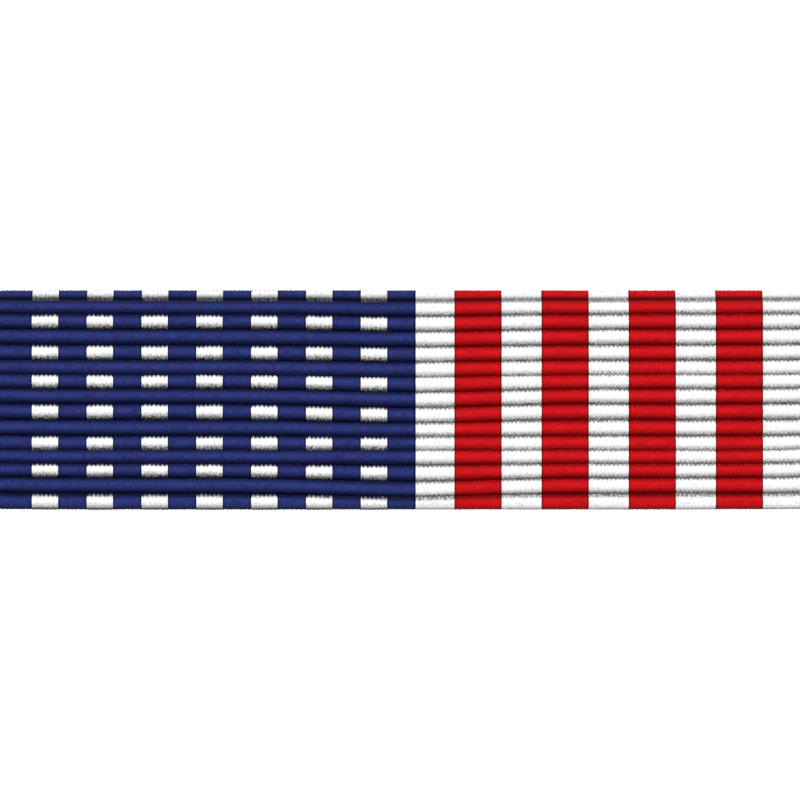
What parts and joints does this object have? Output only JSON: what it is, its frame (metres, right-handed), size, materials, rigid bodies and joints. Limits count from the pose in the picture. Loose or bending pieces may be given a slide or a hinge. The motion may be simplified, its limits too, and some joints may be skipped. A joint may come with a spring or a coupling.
{
  "type": "ribbon pin",
  "caption": "Flat bar covered in a ribbed ribbon with a dashed blue field and red and white stripes, with pointed posts and push-on clutches behind.",
  "frame": {"origin": "on the surface that the clutches stand on, under the middle of the bar", "axes": "+Z the way the ribbon faces, +X along the bar towards the red and white stripes, +Y towards the bar's upper edge as worn"},
  "size_m": [0.035, 0.0096, 0.0102],
  "materials": {
    "ribbon_cloth": "ribbed silk-like weave; the blue field has white dashes, and the right half red and white stripes",
    "plate_brass": "plain rolled brass with a light brushing along the bar",
    "clutch_brass": "turned and lightly polished brass"
  },
  "bodies": {
    "root": {"ribbon": "ribbon_cloth", "mounting_bar": "plate_brass", "clutch_left": "clutch_brass", "clutch_right": "clutch_brass"}
  },
  "joints": []
}
